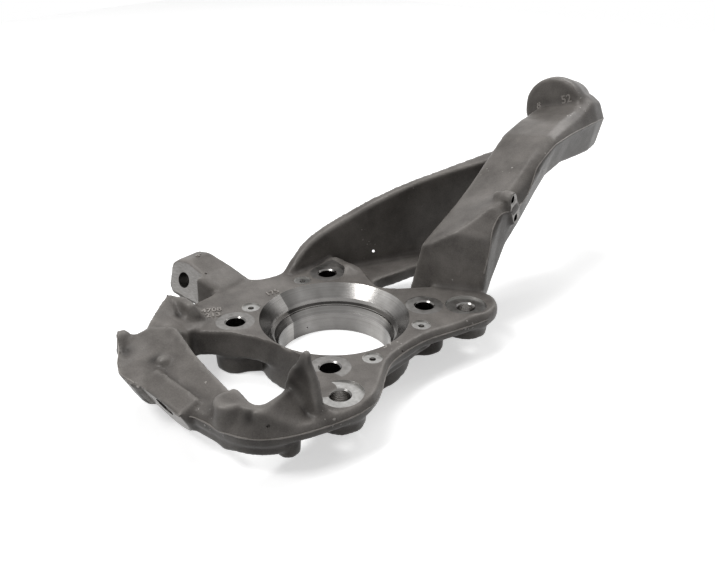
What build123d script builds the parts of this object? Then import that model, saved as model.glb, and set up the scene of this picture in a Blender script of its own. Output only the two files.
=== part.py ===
from build123d import *
import math
import os

# Front steering knuckle of a car with a high upper arm, cast in one piece in aluminium and then machined.
# Frame, in millimetres: the origin is on the hub axis in the plane of the hub bolt seats.
# +Z runs along the hub axis to the inboard side, +Y runs up the swan neck, and +X points to the caliper ears.

# Hub plate, between the bolt seats and the machined face for the wheel bearing
HUB_DEPTH = 33.0          # bolt seats down to the bearing face
SPLIT_Z = -4.0            # height of the parting line round the plate
PLATE_DEPTH = 18.0        # bolt seats down to the lowest cast face of the plate
FLANGE_DEPTH = 10.0       # bolt seats down to the underside of the thin edge round the ears
RIM_Z = 11.5              # top of the raised lower rim
DRAFT = 6.0               # draft angle of the deep cast walls, in degrees
CROWN = 20.0              # slope of the low walls above the parting line, in degrees

# Stepped hub bore, as radius and height
BORE_R = 38.35
RECESS_R = 50.5
SHOULDER_R = 43.0
SHOULDER_Z = -8.5
COUNTER_R = 40.9
COUNTER_Z = -12.6
GROOVE_R = 41.8
GROOVE_Z = -14.2
CHAMFER_Z = -15.4
LAND_Z = -18.6
RING_WALL = 11.0          # wall of the ring round the bore

# Hub bolts, caliper bolts and the small tapped holes of the splash shield
BOLT_R = 6.3
BOLT_CHAMFER = 0.5
BOLT_SEAT_R = 13.0
BOLT_BOSS_R = 15.5
WEB_WIDTH = 25.0          # width of the web between a bolt boss and the ring
LEFT_BOLT_X = 46.6
LEFT_BOLT_Y = 47.3
RIGHT_BOLT_X = 38.8
RIGHT_BOLT_Y = 50.6
EAR_HOLE_R = 6.0
EAR_SEAT_R = 14.3
EAR_BOSS_R = 16.0
EAR_SINK = 1.2            # how far the ear seats are cut below the hub bolt seats
EAR_X = 61.4
EAR_Y = 68.4
SHIELD_HOLE_R = 2.1
SHIELD_HOLE_DEPTH = 14.0
SHIELD_SEAT_R = 6.4
SHIELD_SINK = 0.8
SHIELD_X = 52.8
SHIELD_Y = 26.5

# Steering arm, with its milled face
ARM_X = -120.4
ARM_Y = -28.0
ARM_Z = 0.4
ARM_TILT = 16.0           # lean of the milled face, in degrees
ARM_HOLE_R = 5.8
ARM_LENGTH = 33.0         # length of the hole through the arm

# Lower ball joint seat
JOINT_AT = (-15.0, -134.0, -7.0)
JOINT_OUT = (-0.1, -0.89, -0.455)
JOINT_R = 21.0
JOINT_CHORD = 8.0         # the seat is cut off this far above its centre
JOINT_BOSS = 14.0         # depth of the boss behind the seat
JOINT_HOLE_R = 6.7
JOINT_HOLE_DEPTH = 13.0

# Head of the swan neck, with the seat of the upper ball joint
HEAD_X = 25.5
HEAD_Z = 94.0
HEAD_R = 25.5
HEAD_END_R = 17.0
HEAD_Y0 = 252.0
HEAD_RIM_Y = 260.0
HEAD_Y1 = 288.0
STUD_R = 8.0
STUD_DEPTH = 30.0

# Pad for the wheel speed sensor, on the side of the neck
PAD_X = 61.5
PAD_R = 5.4
PAD_HOLE_R = 2.8
PAD_HOLE_DEPTH = 14.0
PAD_A = (125.0, 61.0)     # Y and Z of the two holes
PAD_B = (132.0, 45.0)

# Floor of the left limb
FLOOR_Z = -8.0


def at(x, y, z=0.0):
    """A translation to a point."""
    return Location((x, y, z))


def corner_radii(points, share=0.45):
    """The largest arc that fits each corner of a closed outline, using a share of its shorter side."""
    radii = []
    for i, here in enumerate(points):
        a = Vector(*points[i - 1]) - Vector(*here)
        b = Vector(*points[(i + 1) % len(points)]) - Vector(*here)
        half_turn = math.radians(180 - a.get_angle(b)) / 2
        radii.append(share * min(a.length, b.length) / math.tan(half_turn))
    return radii


def blob(points, z=0.0):
    """A face at height z whose outline runs along the points, with an arc at every corner."""
    flat = [(x, y, z) for x, y in points]
    return make_face(FilletPolyline(*flat, radius=corner_radii(flat), close=True))


def inset(points, amount):
    """The points of a closed outline after each of its sides has moved inwards."""
    after = points[1:] + points[:1]
    turn = sum(a[0] * b[1] - b[0] * a[1] for a, b in zip(points, after))
    side = math.copysign(amount, turn)
    moved = []
    for i, here in enumerate(points):
        a = (Vector(*here) - Vector(*points[i - 1])).normalized()
        b = (Vector(*after[i]) - Vector(*here)).normalized()
        share = side / (1 + a.dot(b))
        moved.append((here[0] - (a.Y + b.Y) * share, here[1] + (a.X + b.X) * share))
    return moved


def drafted(points, z, height, draft=DRAFT):
    """A solid that narrows by the draft angle from its outline up, or down for a negative height."""
    far = inset(points, abs(height) * math.tan(math.radians(draft)))
    return loft([blob(points, z), blob(far, z + height)], ruled=True)


def section(points, corner):
    """A planar face from points in space, with rounded corners unless their radius is zero."""
    face = make_face(Polyline([Vector(*p) for p in points], close=True))
    return fillet(face.vertices(), corner) if corner else face


def across(x, points, corner=2.0):
    """A section in a plane of constant x, from points in y and z."""
    return section([(x, y, z) for y, z in points], corner)


def along(y, points, corner=2.0):
    """A section in a plane of constant y, from points in x and z."""
    return section([(x, y, z) for x, z in points], corner)


def post(x, y, z0, z1, r0, r1=None):
    """A round boss from z0 up to z1, with its radius at either end."""
    if r1 is None:
        return at(x, y, (z0 + z1) / 2) * Cylinder(r0, z1 - z0)
    return at(x, y, (z0 + z1) / 2) * Cone(r0, r1, z1 - z0)


def mirrored(x, y):
    """A point and its mirror image in the plane through the hub axis and the X axis."""
    return [(x, -y), (x, y)]


# Plate and its crown above the parting line
plate_outline = [
    (66, 96), (78, 86), (81, 71), (76, 54), (70, 38), (62, 18), (60, -4), (61, -20), (67, -33), (75, -47),
    (80, -60), (79, -74), (74, -89), (67, -105), (59, -118), (49, -127), (36, -131.5), (20, -131.5), (4, -133),
    (-6, -124), (-20, -112), (-45, -92), (-72, -78), (-88, -58), (-88, -38), (-90, -18), (-88, 2), (-77, 12),
    (-74, 28), (-70, 45), (-60, 66), (-38, 74), (-12, 58), (-3, 54), (6, 59), (16, 68), (32, 84), (48, 92),
]
deep_outline = [
    (44, 92), (52, 74), (55, 50), (58, 24), (58, -4), (57, -24), (53, -44), (48, -62), (48, -84), (60, -108),
    (57, -117), (48, -125), (36, -130), (20, -130), (2, -131), (-10, -126), (-20, -112), (-45, -92), (-72, -80),
    (-87, -58), (-87, -38), (-89, -18), (-87, 2), (-74, 13), (-67, 28), (-63, 45), (-55, 64), (-38, 74),
    (-12, 59), (-3, 55), (6, 60), (16, 69), (32, 85),
]
body = drafted(plate_outline, SPLIT_Z, -SPLIT_Z, CROWN)
body += drafted(plate_outline, SPLIT_Z, -FLANGE_DEPTH - SPLIT_Z)
body += drafted(deep_outline, SPLIT_Z - 2, -PLATE_DEPTH - SPLIT_Z + 2)

# Ring round the bore, and the bosses of the bolts
hub_bolts = mirrored(-LEFT_BOLT_X, LEFT_BOLT_Y) + mirrored(RIGHT_BOLT_X, RIGHT_BOLT_Y)
ears = mirrored(EAR_X, EAR_Y)
shield_holes = mirrored(-SHIELD_X, SHIELD_Y) + mirrored(SHIELD_X, SHIELD_Y)
body += post(0, 0, -HUB_DEPTH, -1, BORE_R + RING_WALL, BORE_R + RING_WALL + 3)
for x, y in hub_bolts:
    body += post(x, y, -HUB_DEPTH, 0, BOLT_BOSS_R - 1.5, BOLT_BOSS_R)
    reach = math.hypot(x, y)
    web = Box(reach - BORE_R, WEB_WIDTH, HUB_DEPTH - 4, align=(Align.MAX, Align.CENTER, Align.MIN))
    body += Rot(0, 0, math.degrees(math.atan2(y, x))) * at(reach, 0, -HUB_DEPTH) * web
for x, y in ears:
    body += post(x, y, -PLATE_DEPTH - 1, 0, EAR_BOSS_R - 1, EAR_BOSS_R)

# Raised lower rim, steep on the window and sloping outside, which falls away towards the ear
rim_foot = [
    (14, -131), (30, -131.5), (40, -130), (49, -126.5), (57, -119), (64, -110), (67, -103), (60, -97), (50, -92),
    (40, -92), (38, -106), (30, -110), (18, -110),
]
rim_top = [
    (22, -126), (30, -125.2), (38, -123), (48, -122.5), (53, -118), (57, -111), (59, -104), (56, -98), (50, -93),
    (42, -93), (40, -106), (32, -111), (22, -111),
]
rim = loft([blob(rim_foot, SPLIT_Z), blob(rim_top, RIM_Z)], ruled=True)
rim_fall = Plane(origin=(50, -118, RIM_Z), z_dir=(0.75, 0.1, 1))
body += rim - rim_fall * Box(90, 90, 30, align=(Align.CENTER, Align.CENTER, Align.MIN))
body += post(28, -123, SPLIT_Z, RIM_Z, 10, 8.5)

# Bosses under the lower rim
body += post(53, -104, -24, -10, 6.6, 7.6)
body += post(27, -121, -20, -10, 8, 9)

# Left leg and the cradle of the lower rim
leg = loft([
    along(-44, [(-88, -17), (-86, -3), (-70, -2), (-50, -1), (-50, -17)], 0),
    along(-58, [(-90, -17), (-88, 8), (-76, 1), (-56, -1), (-52, -17)], 0),
    along(-69, [(-90, -17), (-87, 17), (-76, 10), (-58, 2), (-53, -17)], 0),
    along(-80, [(-85, -16), (-82, 15), (-74, 9), (-55, 3), (-52, -17)], 0),
    along(-92, [(-77, -15), (-75, 14), (-66, 10), (-50, 12), (-48, -17)], 0),
    along(-104, [(-71, -14), (-68, 11), (-60, 10), (-46, 11), (-44, -17)], 0),
], ruled=True)
cradle = loft([
    across(-70, [(-100, -8), (-103, 11), (-112, 11), (-121, 11), (-121, -4)], 0),
    across(-62, [(-88, -14), (-96, 13), (-112, 9), (-129, 7), (-125, -13)], 0),
    across(-52, [(-84, -16), (-92, 14), (-114, 6), (-137.5, 3), (-128, -16)], 0),
    across(-40, [(-88, -17), (-96, 12), (-116, 5), (-139.5, 2), (-130, -17)], 0),
    across(-25, [(-95, -17.5), (-101, 9.5), (-120, 2), (-138.5, -1), (-129, -17.5)], 0),
    across(-8, [(-100, -18), (-105, 7), (-120, 0), (-137, -4), (-129, -18)], 0),
    across(8, [(-103, -18), (-110, 7), (-120, 0), (-132, -4), (-127, -18)], 0),
    across(24, [(-108, -18), (-115, 8), (-122, 4), (-130, -4), (-126, -18)], 0),
], ruled=True)
body += leg
body += loft([
    across(-89, [(-58, -8), (-65, 12), (-70, 13), (-77, -2)], 0),
    across(-77, [(-55, -8), (-63, 15.5), (-68, 15.5), (-75, -2)], 0),
    across(-66, [(-52, -8), (-65, 15), (-69, 14.5), (-73, -3)], 0),
    across(-62, [(-50, -8), (-64, 7), (-68, 6.5), (-71, -4)], 0),
], ruled=True)
body += cradle

# Hooked tip of the ear and the peg in the cradle
body += loft([
    section([(-76, -108, 2), (-64, -106, 2), (-60, -126, 2), (-70, -126, 2)], 3),
    section([(-75, -115, 15.5), (-71, -115, 15.5), (-69, -121, 15.5), (-73, -121, 15.5)], 1.5),
], ruled=True)
body += post(-38, -115, -4, 8.5, 5, 3.2)

# Steering arm
arm = loft([
    across(-135.5, [(-36, -9), (-36, 8), (-6, 8), (-4, -8)], 2.5),
    across(-130, [(-36, -13), (-36, 13), (-2, 12.5), (2, -11)], 2.5),
    across(-119, [(-36, -14), (-36, 15), (-2, 14), (5, -13)], 2.5),
    across(-102, [(-33, -14), (-33, 11), (2, 7), (7, -13)], 2.5),
    across(-86, [(-24, -16), (-24, 0), (6, -1), (8, -16)], 2.5),
    across(-62, [(-40, -17), (-40, -1.5), (16, -1.5), (16, -17)], 2.5),
], ruled=True)
body += arm

# Swan neck
neck = loft([
    along(80, [(4, -18), (15, 29), (44, 44), (56, 45), (61, 20), (60, -17)]),
    along(97, [(7, -18), (14, 35), (46, 49), (56, 50), (61, 32), (58, -17)]),
    along(112, [(12, -10), (14, 41), (50, 57), (57, 56), (60, 51), (55, -5)]),
    along(130, [(18, 12), (14, 49), (52, 62), (57, 59), (60, 52), (55, 22)]),
    along(150, [(20, 32), (14, 60), (52, 71), (58, 67), (60, 59), (54, 33)]),
    along(172, [(20, 48), (14, 74), (51, 83), (57, 82), (60, 78), (54, 50)]),
    along(190, [(20, 58), (14, 85), (50, 91), (57, 90), (60, 86), (53, 59)]),
    along(215, [(20, 63), (14, 91), (50, 96), (57, 93), (60, 88), (53, 63)]),
    along(240, [(18, 63), (12, 92), (49, 99), (56, 95), (60, 88), (54, 62)]),
    along(262, [(16, 64), (14, 96), (47, 108), (55, 102), (60, 88), (55, 61)]),
    along(280, [(20, 66), (22, 94), (44, 105), (53, 99), (58, 86), (53, 62)]),
    along(294, [(26, 72), (28, 88), (42, 97), (48, 92), (52, 84), (48, 68)]),
], ruled=True)
wall_front = Plane(origin=(12, 72, SPLIT_Z), x_dir=(0.912, 0.41, 0), z_dir=(0.41, -0.908, 0.077))
neck -= wall_front * Box(160, 200, 80, align=(Align.CENTER, Align.CENTER, Align.MIN))
wall_corner = Plane(origin=(42, 91, 43), z_dir=(0.393, -0.625, 0.675))
neck -= wall_corner * Box(90, 90, 40, align=(Align.CENTER, Align.CENTER, Align.MIN))
body += neck

# Pocket in the underside of the neck, which leaves a channel with walls of about ten
body -= loft([
    along(105, [(24, -30), (24, 24), (48, 30), (48, -30)], 0),
    along(130, [(26, -10), (24, 38), (48, 46), (48, -10)], 0),
    along(150, [(27, 15), (24, 49), (48, 56), (48, 15)], 0),
    along(172, [(27, 35), (24, 62), (49, 69), (48, 35)], 0),
    along(190, [(27, 45), (24, 73), (49, 78), (48, 45)], 0),
    along(215, [(27, 50), (24, 80), (49, 84), (48, 50)], 0),
    along(240, [(27, 50), (24, 82), (46, 86), (46, 50)], 0),
], ruled=True)

# Head of the neck
head_plane = Plane(origin=(HEAD_X, HEAD_Y0, HEAD_Z), x_dir=(1, 0, 0), z_dir=(0, 1, 0))
body += head_plane * extrude(Circle(HEAD_R), amount=HEAD_RIM_Y - HEAD_Y0)
head_cone = HEAD_Y1 - HEAD_RIM_Y
body += head_plane * at(0, 0, HEAD_RIM_Y - HEAD_Y0 + head_cone / 2) * Cone(HEAD_R, HEAD_END_R, head_cone)

# Pad for the wheel speed sensor
pad_centre = ((PAD_A[0] + PAD_B[0]) / 2, (PAD_A[1] + PAD_B[1]) / 2)
pad_pitch = math.hypot(PAD_B[0] - PAD_A[0], PAD_B[1] - PAD_A[1])
pad_lean = math.degrees(math.atan2(PAD_A[1] - PAD_B[1], PAD_A[0] - PAD_B[0]))
pad_plane = Plane(origin=(PAD_X, *pad_centre), x_dir=(0, 1, 0), z_dir=(1, 0, 0))
pad_face = Rot(0, 0, pad_lean) * SlotCenterToCenter(pad_pitch, 2 * PAD_R)
body += pad_plane * extrude(pad_face, amount=-8)

# Left limb: a tall wall on the outside and a floor towards the gap
limb_line = [(-76, 18), (-72, 34), (-70, 50), (-66, 66), (-58, 82), (-36, 122), (-20, 152), (-3, 190), (8, 212)]
limb_inner = [(-69, 18), (-65, 34), (-63, 49), (-59, 63), (-51, 79), (-30, 118), (-13, 150), (6, 180), (20, 200)]
limb_plan = make_face([Spline(*limb_line), Spline(*limb_inner),
                       Line(limb_line[0], limb_inner[0]), Line(limb_line[-1], limb_inner[-1])])
limb_top = Spline((22, -4), (32, 6), (43, 16), (62, 25.5), (76, 32), (100, 43), (122, 51), (152, 58.5), (190, 66))
limb_rest = Polyline((190, 66), (212, 70), (212, 62), (185, 56), (150, 8), (128, -15), (22, -15), (22, -4))
limb_side = make_face([limb_top, limb_rest])
side_plane = Plane(origin=(-100, 0, 0), x_dir=(0, 1, 0), z_dir=(1, 0, 0))
limb = extrude(at(0, 0, -20) * limb_plan, amount=100) & (side_plane * extrude(limb_side, amount=130))
floor_plan = [
    (-67, 32), (-56, 40), (-30, 50), (-12, 55), (-19, 64), (-21, 74), (-19, 84), (-15, 97), (-13, 110), (-6, 132),
    (-22, 142), (-36, 120), (-56, 82), (-63, 60),
]
floor = drafted(floor_plan, FLOOR_Z, -PLATE_DEPTH - FLOOR_Z, 3)
body += limb
body += floor

# Window of the lower rim
window = [
    (-56, -72), (-45, -64), (-34, -60), (-24, -54), (0, -50.5), (22, -52), (28, -62), (36, -74), (41, -84),
    (45, -96), (46, -108), (45, -117.5), (36, -117), (28, -113.5), (16, -112), (4, -107.5), (-6, -103.5),
    (-25, -97.5), (-40, -91.5), (-50, -86), (-57, -79),
]
body -= extrude(blob(window, -60), amount=120)

# Fin on the edge of the window, and the ramp from it to the ear seat
fin = [
    (42, -6), (42, 12), (44, 20), (49, 27), (52, 34), (54, 36), (57, 35), (58, 29), (62, 22), (65, 14), (66, 9),
    (68, 0), (69, -6),
]
body += loft([
    section([(x, -95 + 0.12 * z, z) for x, z in fin], 0.8),
    section([(x, -88 + 0.03 * z, z) for x, z in fin], 0.8),
], ruled=True)
body += loft([
    along(-92, [(46, -6), (46, 12), (65, 10), (71, -6)], 1),
    along(-82, [(42, -6), (46, -0.5), (74, -0.5), (77, -6)], 1),
], ruled=True)

# Boss of the lower ball joint, cut off where it meets the parting line
joint_plane = Plane(origin=JOINT_AT, x_dir=(0.98, -0.19, -0.01), z_dir=JOINT_OUT)
joint_side = -1 if joint_plane.y_dir.Z < 0 else 1
joint_face = Circle(JOINT_R) - at(0, joint_side * (JOINT_CHORD + JOINT_R)) * Rectangle(3 * JOINT_R, 2 * JOINT_R)
body += joint_plane * extrude(joint_face, amount=-JOINT_BOSS)
body -= joint_plane * extrude(joint_face, amount=20)
body -= joint_plane * at(0, 0, -JOINT_HOLE_DEPTH / 2) * Cylinder(JOINT_HOLE_R, JOINT_HOLE_DEPTH)

# Milled face and bolt hole of the steering arm
lean = math.radians(ARM_TILT)
arm_plane = Plane(origin=(ARM_X, ARM_Y, ARM_Z), x_dir=(1, 0, 0), z_dir=(0, -math.cos(lean), math.sin(lean)))
arm_right = Align.MAX if arm_plane.x_dir.X > 0 else Align.MIN
body -= arm_plane * at(19, 0) * Box(46, 46, 30, align=(arm_right, Align.CENTER, Align.MIN))
back_cut = arm_plane * at(0, 0, -ARM_LENGTH) * Cylinder(11, 20, align=(Align.CENTER, Align.CENTER, Align.MAX))
body -= back_cut
body -= arm_plane * at(0, 0, -ARM_LENGTH / 2) * Cylinder(ARM_HOLE_R, ARM_LENGTH + 8)

# Stepped bore
bore_line = [
    (0, 1), (RECESS_R + 1, 1), (RECESS_R, 0), (SHOULDER_R, SHOULDER_Z), (SHOULDER_R, COUNTER_Z),
    (COUNTER_R, COUNTER_Z), (GROOVE_R, COUNTER_Z - 0.6), (GROOVE_R, GROOVE_Z), (COUNTER_R, CHAMFER_Z),
    (BORE_R, LAND_Z), (BORE_R, -HUB_DEPTH - 2), (0, -HUB_DEPTH - 2),
]
body -= revolve(Plane.XZ * make_face(Polyline(bore_line, close=True)), axis=Axis.Z)

# Bolt holes with their seats, each with a chamfered mouth
for x, y in hub_bolts:
    body -= post(x, y, 0, 20, BOLT_SEAT_R)
    body -= post(x, y, -HUB_DEPTH - 2, 2, BOLT_R)
    body -= post(x, y, -BOLT_CHAMFER, 0, BOLT_R, BOLT_R + BOLT_CHAMFER)
for x, y in ears:
    body -= post(x, y, -EAR_SINK, 20, EAR_SEAT_R)
    body -= post(x, y, -PLATE_DEPTH - 4, 2, EAR_HOLE_R)
    body -= post(x, y, -EAR_SINK - BOLT_CHAMFER, -EAR_SINK, EAR_HOLE_R, EAR_HOLE_R + BOLT_CHAMFER)
for x, y in shield_holes:
    body -= post(x, y, -SHIELD_SINK, 10, SHIELD_SEAT_R)
    body -= post(x, y, -SHIELD_HOLE_DEPTH, 1, SHIELD_HOLE_R)

# Sensor holes and the bore of the upper ball joint stud
body -= pad_plane * extrude(pad_face, amount=8)
for y, z in (PAD_A, PAD_B):
    hole_plane = Plane(origin=(PAD_X, y, z), x_dir=(0, 1, 0), z_dir=(1, 0, 0))
    body -= hole_plane * at(0, 0, -PAD_HOLE_DEPTH / 2) * Cylinder(PAD_HOLE_R, PAD_HOLE_DEPTH)
body -= head_plane * at(0, 0, HEAD_Y1 - HEAD_Y0 + 10) * Cylinder(HEAD_END_R - 1, 20)
body -= head_plane * at(0, 0, HEAD_Y1 - HEAD_Y0 - STUD_DEPTH / 2) * Cylinder(STUD_R, STUD_DEPTH)

os.makedirs("parts", exist_ok=True)
export_step(body, "parts/knuckle_casting.step")
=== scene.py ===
"""Looks of a cast aluminium steering knuckle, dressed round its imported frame.

The knuckle is one casting. Its skin is made again from the frame's solid: the drilled and turned places
are filled, the skin is remeshed and softened as a sand mould leaves it, and the flash of the parting line is
raised on it. Every machined place is then cut again to the frame's own sizes, so that it comes out crisp,
in a finish of its own. Sizes in the classes are millimetres unless they say otherwise. The meshes are metres.
"""

import logging
import math
from collections.abc import Iterator
from dataclasses import dataclass, field
from enum import Enum

import bmesh
import bpy
import numpy as np
from mathutils import Matrix, Vector, noise
from mathutils.bvhtree import BVHTree

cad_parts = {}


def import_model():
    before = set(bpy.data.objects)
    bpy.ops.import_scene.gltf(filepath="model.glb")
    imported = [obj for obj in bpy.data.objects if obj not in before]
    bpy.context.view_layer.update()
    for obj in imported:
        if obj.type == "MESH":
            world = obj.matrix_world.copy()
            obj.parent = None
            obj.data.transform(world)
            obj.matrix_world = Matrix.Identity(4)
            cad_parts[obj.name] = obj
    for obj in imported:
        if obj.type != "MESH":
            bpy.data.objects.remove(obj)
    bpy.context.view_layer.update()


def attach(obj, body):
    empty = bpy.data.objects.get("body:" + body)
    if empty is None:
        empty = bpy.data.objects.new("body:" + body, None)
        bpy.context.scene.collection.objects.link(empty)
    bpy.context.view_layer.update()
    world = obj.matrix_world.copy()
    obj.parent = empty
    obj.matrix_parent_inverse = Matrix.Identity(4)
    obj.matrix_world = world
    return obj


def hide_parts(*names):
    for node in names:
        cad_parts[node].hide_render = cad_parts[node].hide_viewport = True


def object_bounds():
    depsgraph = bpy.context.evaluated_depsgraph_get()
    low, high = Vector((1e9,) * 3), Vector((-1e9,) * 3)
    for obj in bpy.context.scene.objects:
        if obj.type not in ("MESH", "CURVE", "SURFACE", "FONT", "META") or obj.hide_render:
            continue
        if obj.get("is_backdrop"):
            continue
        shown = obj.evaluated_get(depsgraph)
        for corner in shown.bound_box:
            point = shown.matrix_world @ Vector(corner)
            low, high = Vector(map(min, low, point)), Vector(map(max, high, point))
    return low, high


LOG = logging.getLogger("knuckle")
MM = 0.001
NODE = "knuckle_casting"
WORN = "worn"                 # vertex attribute: how far the skin is rubbed bare
PAINTED_SHADE = "hollow"             # vertex attribute: how dark the painted shade in hollows and at the listed spots is
WHITE = (1.0, 1.0, 1.0, 1.0)
FADED = 2.5                   # at this many reaches from its middle a swell has faded away

Point = tuple[float, float, float]
Spot = tuple[float, float]
Socket = bpy.types.NodeSocket


class Wave(Enum):
    """How the tool left its marks on a machined place."""

    TURNED = "turned"
    MILLED = "milled"
    THREADED = "threaded"


class Hole(Enum):
    """The kinds of hole in the casting."""

    BORE = "hub bore"
    HUB_BOLT = "hub bolt"
    EAR = "caliper bolt"
    SHIELD = "shield screw"
    ARM = "steering arm"
    JOINT = "lower ball joint"
    HEAD = "upper ball joint"
    PAD = "speed sensor"


def linear(code: str) -> tuple[float, float, float, float]:
    """Turn an sRGB hex colour into the linear colour that a shader reads.

    Args:
        code: The colour as six hex digits after a hash.

    Returns:
        Red, green, blue and an alpha of one.
    """
    parts = [int(code[i:i + 2], 16) / 255 for i in (1, 3, 5)]
    made = [c / 12.92 if c <= 0.04045 else ((c + 0.055) / 1.055) ** 2.4 for c in parts]
    return (made[0], made[1], made[2], 1.0)


def metres(point: Point) -> Vector:
    """Turn a point in millimetres into a vector in metres."""
    return Vector(point) * MM


def node(tree: bpy.types.NodeTree, kind: str, settings: dict | None = None,
         **links: object) -> bpy.types.Node:
    """Add a node, give it its settings, and link or set its inputs.

    Args:
        tree: The node tree that gets the node.
        kind: The node's type, such as ShaderNodeMath.
        settings: Attributes of the node itself, and inputs by number under the key "at".
        links: Inputs by name with underscores for spaces, each a socket or a value.

    Returns:
        The new node.
    """
    made = tree.nodes.new(kind)
    numbered = {}
    for key, value in (settings or {}).items():
        if key == "at":
            numbered = value
        else:
            setattr(made, key, value)
    named = {key.replace("_", " "): value for key, value in links.items()}
    for key, value in {**numbered, **named}.items():
        if isinstance(value, Socket):
            tree.links.new(value, made.inputs[key])
        else:
            made.inputs[key].default_value = value
    return made


def maths(tree: bpy.types.NodeTree, operation: str, *values: Socket | float) -> Socket:
    """Add one step of arithmetic.

    Args:
        tree: The node tree.
        operation: The step, such as MULTIPLY.
        values: Its inputs.

    Returns:
        The result.
    """
    return node(tree, "ShaderNodeMath", {"operation": operation, "at": dict(enumerate(values))}).outputs[0]


def vector_maths(tree: bpy.types.NodeTree, operation: str, *values: Socket | Point) -> bpy.types.Node:
    """Add one step of vector arithmetic.

    Args:
        tree: The node tree.
        operation: The step, such as LENGTH.
        values: Its inputs.

    Returns:
        The node, whose first output is a vector and whose output Value is a number.
    """
    return node(tree, "ShaderNodeVectorMath", {"operation": operation, "at": dict(enumerate(values))})


def clouds(tree: bpy.types.NodeTree, place: Socket, size: float, detail: float,
           roughness: float = 0.5) -> Socket:
    """Add a noise of a real size.

    Args:
        tree: The node tree.
        place: The vector that it follows.
        size: Size of its blotches, in millimetres.
        detail: Number of its finer layers.
        roughness: Share of the finer layers.

    Returns:
        A value round a half.
    """
    made = node(tree, "ShaderNodeTexNoise", Vector=place, Scale=1 / (size * MM), Detail=detail,
                Roughness=roughness)
    return made.outputs["Fac"]


def between(tree: bpy.types.NodeTree, value: Socket, low: float, high: float) -> Socket:
    """Spread a value from zero to one over another range."""
    return node(tree, "ShaderNodeMapRange", Value=value, To_Min=low, To_Max=high).outputs["Result"]


def multiplied(tree: bpy.types.NodeTree, first: Socket | Point, second: Socket) -> Socket:
    """Multiply two colours."""
    settings = {"blend_type": "MULTIPLY", "at": {0: 1.0}}
    return node(tree, "ShaderNodeMixRGB", settings, Color1=first, Color2=second).outputs["Color"]


def ramp(tree: bpy.types.NodeTree, source: Socket, stops: dict[float, str]) -> Socket:
    """Colour a value by stops.

    Args:
        tree: The node tree.
        source: The value from zero to one.
        stops: Place of each stop and its hex colour.

    Returns:
        The colour socket.
    """
    made = node(tree, "ShaderNodeValToRGB", Fac=source)
    places = sorted(stops)
    elements = made.color_ramp.elements
    elements[0].position, elements[0].color = places[0], linear(stops[places[0]])
    elements[1].position, elements[1].color = places[-1], linear(stops[places[-1]])
    for place in places[1:-1]:
        elements.new(place).color = linear(stops[place])
    return made.outputs["Color"]


def blank_material(name: str) -> tuple[bpy.types.Material, bpy.types.NodeTree, bpy.types.Node]:
    """Start a material.

    Args:
        name: The material's name.

    Returns:
        The material, its node tree and its shader.
    """
    made = bpy.data.materials.new(name)
    made.use_nodes = True
    return made, made.node_tree, made.node_tree.nodes["Principled BSDF"]


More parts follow.
